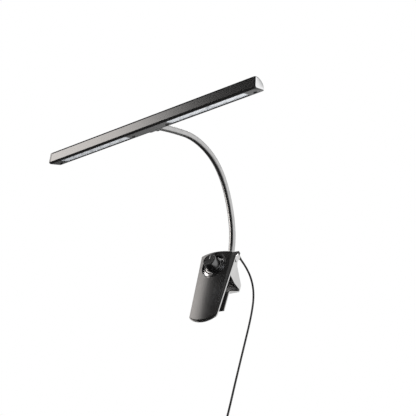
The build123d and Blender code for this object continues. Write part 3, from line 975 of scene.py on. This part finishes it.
# One look for each finish: colours are linear, sizes in metres
plain = {
    "dark": (0.02, 0.02, 0.021),
    "light": (0.03, 0.03, 0.031),
    "grain": 1600.0,
    "broad": 70.0,
    "stretch": (1, 1, 1),
    "rough": (0.35, 0.45),
    "roughFrom": (0.3, 0.7),  # grain heights with the least and the most roughness
    "bump": 0.12,
    "depth": 0.00012,
    "metal": 0.0,
    "coat": 0.0,
    "coatRough": 0.1,
    "coatIor": 1.5,
    "specular": 0.5,
    "wearAndHighlight": None,  # colour of lighter edges: partly rubbed wear, partly a painted highlight
    "wearAndHighlightWidth": 0.0005,
    "glass": 0.0,
    "dust": 0.12,
    "dustColour": (0.32, 0.31, 0.29),
    "dustRough": 0.5,
    "glow": 0.0,
    "gloss": None,  # the way that shiny faces look
    "shadeLine": None,  # a line along which reflection is taken away so it renders dark: painted shade
    "dullRough": 0.5,
    "dullSpecular": 0.2,
}
looks = {
    "clip_plastic": {
        "dark": (0.016, 0.016, 0.017), "light": (0.024, 0.024, 0.025), "rough": (0.42, 0.55),
        "bump": 0.25,
    },
    "cover_plastic": {
        "dark": (0.022, 0.0215, 0.0215), "light": (0.03, 0.029, 0.0285), "rough": (0.26, 0.32),
        "grain": 2600.0, "bump": 0.03, "coat": 0.6, "coatRough": 0.22, "wearAndHighlight": (0.09, 0.09, 0.09),
        "gloss": {"Way": (0, -1, 0)},
    },
    "knob_plastic": {
        "dark": (0.006, 0.006, 0.0065), "light": (0.011, 0.011, 0.0115), "rough": (0.16, 0.24),
        "grain": 900.0, "bump": 0.03, "coat": 1.0, "coatRough": 0.12, "coatIor": 1.9,
        "specular": 0.8, "wearAndHighlight": (0.05, 0.05, 0.05),
    },
    "cap_plastic": {
        "dark": (0.02, 0.02, 0.021), "light": (0.03, 0.03, 0.031), "rough": (0.28, 0.36),
        "coat": 0.3, "coatRough": 0.2,
    },
    "bezel_chrome": {
        "dark": (0.64, 0.64, 0.645), "light": (0.7, 0.7, 0.705), "rough": (0.2, 0.26),
        "metal": 1.0, "bump": 0.02, "dust": 0.03,
    },
    "cap_silver": {
        "dark": (0.84, 0.84, 0.845), "light": (0.89, 0.89, 0.895), "rough": (0.14, 0.2),
        "metal": 1.0, "bump": 0.02, "dust": 0.05,
    },
    "dimmer_case": {"rough": (0.4, 0.5)},
    "pad_rubber": {
        "dark": (0.014, 0.014, 0.014), "light": (0.024, 0.024, 0.023), "rough": (0.75, 0.9),
        "bump": 0.4, "grain": 2200.0,
    },
    "gland_rubber": {
        "dark": (0.01, 0.01, 0.01), "light": (0.018, 0.018, 0.018), "rough": (0.55, 0.7),
        "bump": 0.3,
    },
    "cord_jacket": {
        "dark": (0.01, 0.01, 0.0105), "light": (0.017, 0.017, 0.0175), "rough": (0.4, 0.52),
        "bump": 0.2, "grain": 1800.0,
    },
    "inner_cable": {"rough": (0.5, 0.6)},
    "tie_plastic": {
        "dark": (0.015, 0.015, 0.015), "light": (0.028, 0.028, 0.028), "rough": (0.45, 0.6),
    },
    "plug_plastic": {
        "dark": (0.012, 0.012, 0.012), "light": (0.02, 0.02, 0.02), "rough": (0.4, 0.55),
        "bump": 0.25,
    },
    "plug_metal": {
        "dark": (0.66, 0.66, 0.65), "light": (0.76, 0.76, 0.75), "rough": (0.16, 0.28),
        "metal": 1.0, "bump": 0.04, "dust": 0.0,
    },
    "plated_steel": {
        "dark": (0.58, 0.575, 0.57), "light": (0.66, 0.655, 0.65), "rough": (0.26, 0.4),
        "metal": 1.0, "bump": 0.08, "stretch": (1.0, 1.0, 0.06), "grain": 2400.0, "dust": 0.06,
    },
    "polished_pin": {
        "dark": (0.62, 0.62, 0.62), "light": (0.72, 0.72, 0.72), "rough": (0.12, 0.22),
        "metal": 1.0, "bump": 0.03,
    },
    "spring_wire": {
        "dark": (0.5, 0.5, 0.5), "light": (0.62, 0.62, 0.61), "rough": (0.25, 0.4),
        "metal": 1.0, "bump": 0.05,
    },
    "zinc_screw": {
        "dark": (0.52, 0.53, 0.54), "light": (0.64, 0.65, 0.67), "rough": (0.25, 0.4),
        "metal": 1.0, "bump": 0.06,
    },
    "neck_fitting": {
        "dark": (0.55, 0.55, 0.55), "light": (0.64, 0.64, 0.64), "rough": (0.18, 0.28),
        "metal": 1.0, "bump": 0.04,
    },
    "neck_chrome": {
        "dark": (0.47, 0.467, 0.465), "light": (0.55, 0.546, 0.543), "rough": (0.08, 0.13),
        "metal": 1.0, "bump": 0.03, "broad": 200.0, "dust": 0.05,
    },
    "bar_anodised": {
        "dark": (0.018, 0.018, 0.0185), "light": (0.026, 0.0255, 0.025), "rough": (0.21, 0.24),
        "stretch": (0.03, 1.0, 1.0), "grain": 2600.0, "bump": 0.01, "coat": 0.8,
        "coatRough": 0.16, "specular": 0.6, "dullSpecular": 0.0, "dullRough": 0.7,
        # painted shade: a dark line along the brow, where reflection is taken away
        "shadeLine": barLine(barShape["setback"], barShape["height"], 0.0015, 0.0021),
    },
    "bar_underside": {
        "dark": (0.02, 0.02, 0.02), "light": (0.03, 0.03, 0.03), "rough": (0.24, 0.3),
        "grain": 2600.0, "bump": 0.03, "specular": 0.65, "dullSpecular": 0.0, "dullRough": 0.8,
        # painted shade: a dark line along the underside's rear edge, where reflection is taken
        # away
        "shadeLine": barLine(barShape["depth"] - barShape["heelInset"], 0.0, 0.0025, 0.0029),
    },
    "black_screw": {
        "dark": (0.012, 0.012, 0.012), "light": (0.024, 0.024, 0.024), "rough": (0.35, 0.5),
        "metal": 0.6, "bump": 0.06,
    },
    "clear_lens": {
        "dark": (0.86, 0.88, 0.9), "light": (0.93, 0.95, 0.97), "rough": (0.03, 0.08),
        "bump": 0.02, "grain": 700.0, "glass": 1.0, "dust": 0.0,
    },
    "reflector_metal": {
        "dark": (0.84, 0.85, 0.87), "light": (0.91, 0.92, 0.94), "rough": (0.14, 0.24),
        # the cups' glow is painted light, standing in for light that reaches them through the lens
        "metal": 1.0, "bump": 0.04, "dust": 0.0, "glow": 0.4,
    },
    "light_board": {
        "dark": (0.74, 0.75, 0.74), "light": (0.84, 0.85, 0.84), "rough": (0.45, 0.55),
        "dust": 0.0,
    },
    "circuit_board": {
        "dark": (0.02, 0.09, 0.04), "light": (0.04, 0.16, 0.07), "rough": (0.35, 0.5),
        "grain": 500.0,
    },
    "light_source": {
        "dark": (0.78, 0.78, 0.76), "light": (0.86, 0.86, 0.84), "rough": (0.35, 0.45),
        "dust": 0.0,
    },
    "diodeDome": {
        "dark": (0.9, 0.82, 0.5), "light": (0.95, 0.9, 0.62), "rough": (0.12, 0.2),
        "dust": 0.0, "glow": 0.9,
    },
    "knobFace": {
        "dark": (0.008, 0.008, 0.0085), "light": (0.013, 0.013, 0.0135), "rough": (0.5, 0.62),
        "specular": 0.3, "bump": 0.1,
    },
    "pointerInlay": {
        "dark": (0.62, 0.62, 0.61), "light": (0.7, 0.7, 0.69), "rough": (0.4, 0.5), "dust": 0.0,
    },
}


def makeFinish(name, values):
    look = {**plain, **values}
    material = bpy.data.materials.new(name)
    material.use_nodes = True
    tree = material.node_tree
    shader = tree.nodes["Principled BSDF"].inputs
    shader["Metallic"].default_value = look["metal"]
    shader["Coat Weight"].default_value = look["coat"]
    shader["Coat Roughness"].default_value = look["coatRough"]
    shader["Coat IOR"].default_value = look["coatIor"]
    shader["Specular IOR Level"].default_value = look["specular"]
    shader["Transmission Weight"].default_value = look["glass"]
    shape = {"Scale": look["grain"], "Stretch": look["stretch"], "Broad": look["broad"]}
    grain = useGroup(tree, grainGroup, **shape)
    colour = mixColour(tree, grain["Tone"], (*look["dark"], 1), (*look["light"], 1))
    rough = rangeNode(tree, grain["Height"], *look["roughFrom"], *look["rough"])
    # edges lightened in colour: partly wear, partly a painted highlight
    if look["wearAndHighlight"]:
        wearAndHighlight = useGroup(tree, edgeWearAndHighlightGroup, Width=look["wearAndHighlightWidth"])["Mask"]
        colour = mixColour(tree, wearAndHighlight, colour, (*look["wearAndHighlight"], 1))
    if look["dust"]:
        dust = useGroup(tree, dustGroup, Amount=look["dust"])["Mask"]
        colour = mixColour(tree, dust, colour, (*look["dustColour"], 1))
        rougher = mathNode(tree, "MULTIPLY", dust, look["dustRough"])
        rough = mathNode(tree, "ADD", rough, rougher, clamp=True)
    shine = None
    if look["gloss"]:
        shine = useGroup(tree, facingGroup, **look["gloss"])["Mask"]
    # along a shade line, coat and specular are taken away so the band renders dark: painted shade
    if look["shadeLine"]:
        near = useGroup(tree, lineGroup, **look["shadeLine"])["Mask"]
        shine = mathNode(tree, "SUBTRACT", 1.0, near)
    if shine is not None:
        rough = rangeNode(tree, shine, 0.0, 1.0, look["dullRough"], rough)
        coat = mathNode(tree, "MULTIPLY", shine, look["coat"])
        tree.links.new(coat, shader["Coat Weight"])
        bright = rangeNode(tree, shine, 0.0, 1.0, look["dullSpecular"], look["specular"])
        tree.links.new(bright, shader["Specular IOR Level"])
    # emission: the diodes' own light, and painted light on the reflector cups
    if look["glow"]:
        tree.links.new(colour, shader["Emission Color"])
        shader["Emission Strength"].default_value = look["glow"]
    tree.links.new(colour, shader["Base Color"])
    tree.links.new(rough, shader["Roughness"])
    bump = {"Strength": look["bump"], "Distance": look["depth"], "Height": grain["Height"]}
    tree.links.new(addNode(tree, "ShaderNodeBump", **bump).outputs[0], shader["Normal"])
    return material


finishes = {name: makeFinish(name, values) for name, values in looks.items()}


def dress(piece, *names):
    if piece.data.materials:
        piece.data.materials.clear()
    for name in names:
        piece.data.materials.append(finishes[name])


slotOfNode = {row["node"]: row["material_slot"] for row in frame["record"]["subparts"]}
for name, node in nodes.items():
    dress(node, slotOfNode[name])
dressed = {
    "supplyLead": ("cord_jacket",),
    "plugBody": ("plug_plastic",),
    "plugBarrel": ("plug_metal",),
    "neckLow": ("neck_chrome",),
    "neckRise": ("neck_chrome",),
    "neckCrest": ("neck_chrome",),
    "neckHigh": ("neck_chrome",),
    "dialKnob": ("knob_plastic", "knobFace"),
    "knobPointer": ("pointerInlay",),
    "endCapLeft": ("cap_silver", "cap_plastic"),
    "endCapRight": ("cap_silver", "cap_plastic"),
    "reflectorCupsRight": ("reflector_metal",),
    "reflectorCupsLeft": ("reflector_metal",),
    "diodesRight": ("light_source", "diodeDome"),
    "diodesLeft": ("light_source", "diodeDome"),
    "barScrews": ("black_screw",),
    "coverScrews": ("zinc_screw",),
    "frontPadRibbed": ("pad_rubber",),
    "rearPadRibbed": ("pad_rubber",),
    "cableGland": ("gland_rubber",),
}
for name, names in dressed.items():
    dress(bpy.data.objects[name], *names)
print("finishes set")

# Studio: a pale floor, two soft lamps and the surroundings that shiny faces show
studio = {
    "floor": -1.0,  # metres
    "floorSize": 12.0,
    "floorDark": (0.78, 0.775, 0.765),
    "floorLight": (0.83, 0.825, 0.815),
    "floorGrain": {"Scale": 40.0, "Broad": 1.5},
    "floorRough": 0.8,
    "around": 0.42,  # level for matt faces
    "lamps": (  # place and size in metres, level
        ("sideLamp", (-1.31, -0.48, 0.56), (1.3, 1.0), 3.0),
        ("topLamp", (0.28, 0.28, 1.35), (1.0, 1.0), 2.2),
    ),
    "softboxes": (  # direction, full within, gone beyond (degrees), level; the first is the key
        ((-0.783, -0.569, 0.25), 12.0, 21.0, 4.5),
        ((-0.25, -0.2, 0.947), 8.0, 20.0, 5.5),
        ((-0.985, -0.138, -0.105), 8.0, 20.0, 0.7),
    ),
    "keyTint": (1.0, 0.95, 0.91),
    "darkCards": (  # direction, full within, gone beyond (degrees), depth
        ((-0.063, -0.897, 0.438), 38.0, 52.0, 0.985),
        ((-0.613, -0.326, 0.719), 18.0, 30.0, 0.95),
        ((0.027, 0.308, 0.951), 10.0, 26.0, 0.85),
    ),
    "whiteWall": ((0.862, 0.402, -0.309), 24.0, 48.0),
    "lowTilt": (0.35, 0.0, 1.0),
    "lowEdge": (0.24, 0.0),  # sine of the height where the ground starts and ends to darken
    "lowDark": 0.97,
}


def makeFloor(values):
    mesh = bpy.data.meshes.new("studioFloor")
    corners = [(x, y, values["floor"]) for x, y in square(values["floorSize"] / 2)]
    mesh.from_pydata(corners, [], [(0, 1, 2, 3)])
    floor = addObject("studioFloor", mesh)
    material = bpy.data.materials.new("paleFloor")
    material.use_nodes = True
    tree = material.node_tree
    shader = tree.nodes["Principled BSDF"].inputs
    tone = useGroup(tree, grainGroup, **values["floorGrain"])["Tone"]
    colour = mixColour(tree, tone, (*values["floorDark"], 1), (*values["floorLight"], 1))
    tree.links.new(colour, shader["Base Color"])
    shader["Roughness"].default_value = values["floorRough"]
    mesh.materials.append(material)
    floor.visible_glossy = False


def makeLamps(values):
    for name, place, size, level in values["lamps"]:
        light = bpy.data.lights.new(name, "AREA")
        light.shape = "RECTANGLE"
        light.size, light.size_y = size
        light.energy = level * math.pi * size[0] * size[1]
        lamp = addObject(name, light)
        turn = Vector(place).to_track_quat("Z", "Y").to_matrix().to_4x4()
        lamp.matrix_world = Matrix.Translation(place) @ turn
        lamp.visible_glossy = False
        lamp.visible_camera = False


def patch(tree, way, direction, inner, outer):
    across = vectorNode(tree, "DOT_PRODUCT", way, Vector(direction).normalized())
    edges = [math.cos(math.radians(angle)) for angle in (outer, inner)]
    return rangeNode(tree, across, *edges, smooth=True)


def makeWorld(values):
    world = bpy.data.worlds.new("studioWorld")
    stage.world = world
    world.use_nodes = True
    tree = world.node_tree
    way = addNode(tree, "ShaderNodeTexCoord").outputs["Generated"]
    height = vectorNode(tree, "DOT_PRODUCT", way, values["lowTilt"])
    start, end = values["lowEdge"]
    level = rangeNode(tree, height, end, start, 1 - values["lowDark"], smooth=True)
    level = mathNode(tree, "MAXIMUM", level, patch(tree, way, *values["whiteWall"]))
    for *card, depth in values["darkCards"]:
        shade = mathNode(tree, "MULTIPLY", patch(tree, way, *card), depth)
        level = mathNode(tree, "MULTIPLY", level, mathNode(tree, "SUBTRACT", 1.0, shade))
    glows = [patch(tree, way, *box) for *box, gain in values["softboxes"]]
    for glow, (*box, gain) in zip(glows, values["softboxes"]):
        level = mathNode(tree, "ADD", level, mathNode(tree, "MULTIPLY", glow, gain))
    path = addNode(tree, "ShaderNodeLightPath").outputs
    shiny = mathNode(tree, "MAXIMUM", path["Is Glossy Ray"], path["Is Transmission Ray"])
    seen = rangeNode(tree, shiny, 0.0, 1.0, values["around"], level)
    strength = rangeNode(tree, path["Is Camera Ray"], 0.0, 1.0, seen, 1.0)
    warm = mathNode(tree, "MULTIPLY", glows[0], shiny)
    tint = mixColour(tree, warm, (1, 1, 1, 1), (*values["keyTint"], 1))
    background = tree.nodes["Background"].inputs
    tree.links.new(strength, background["Strength"])
    tree.links.new(tint, background["Color"])


makeFloor(studio)
makeLamps(studio)
makeWorld(studio)
print("studio lit")
